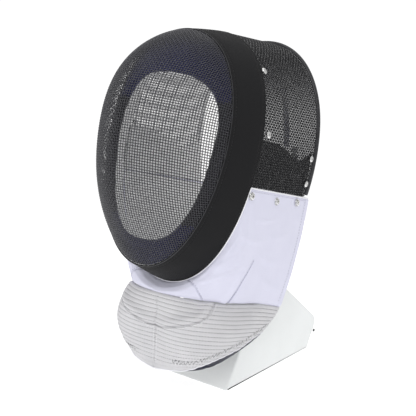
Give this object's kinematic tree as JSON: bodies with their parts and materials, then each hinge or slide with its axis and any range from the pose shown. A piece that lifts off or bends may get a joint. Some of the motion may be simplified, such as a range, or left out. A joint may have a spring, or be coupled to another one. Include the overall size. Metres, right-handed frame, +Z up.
{
  "type": "fencing mask on display stand",
  "caption": "Fencing mask with a domed wire face, trim band, mesh hood, padded bib and conductive lower bib panel, standing on a plain white wedge stand with a post.",
  "frame": {"origin": "centre of the flat foot of the stand, on the surface that it stands on", "axes": "+Z up, -Y ahead of the wire face, +X to the wearer's left; X = 0 is the plane of symmetry of the mask"},
  "size_m": [0.2274, 0.3593, 0.4687],
  "materials": {
    "wire_mesh": "black enamel on steel wire",
    "trim": "matte black coated cloth",
    "binding": "smooth black vinyl edge binding",
    "navy_padding": "brushed navy cloth over foam",
    "black_lining": "matte black cloth",
    "clip_plastic": "moulded black plastic",
    "white_cloth": "smooth padded white cloth",
    "lame": "grey conductive woven cloth with rows of stitching",
    "steel": "polished",
    "stand_white": "satin",
    "dark_screw": "dark"
  },
  "bodies": {
    "root": {"front_mesh": "wire_mesh", "hood_mesh": "wire_mesh", "trim_band": "trim", "rear_binding": "binding", "padding_ring": "navy_padding", "lining_right": "black_lining", "lining_left": "black_lining", "lining_clip": "clip_plastic", "back_tongue": "navy_padding", "bib": "white_cloth", "lame_panel": "lame", "snap_right_1": "steel", "snap_right_2": "steel", "snap_right_3": "steel", "snap_left_1": "steel", "snap_left_2": "steel", "snap_left_3": "steel", "rivet_right_1": "steel", "rivet_right_2": "steel", "rivet_right_3": "steel", "rivet_right_4": "steel", "rivet_left_1": "steel", "rivet_left_2": "steel", "rivet_left_3": "steel", "rivet_left_4": "steel", "stand": "stand_white", "stand_post": "stand_white", "stand_screw": "dark_screw"}
  },
  "joints": []
}
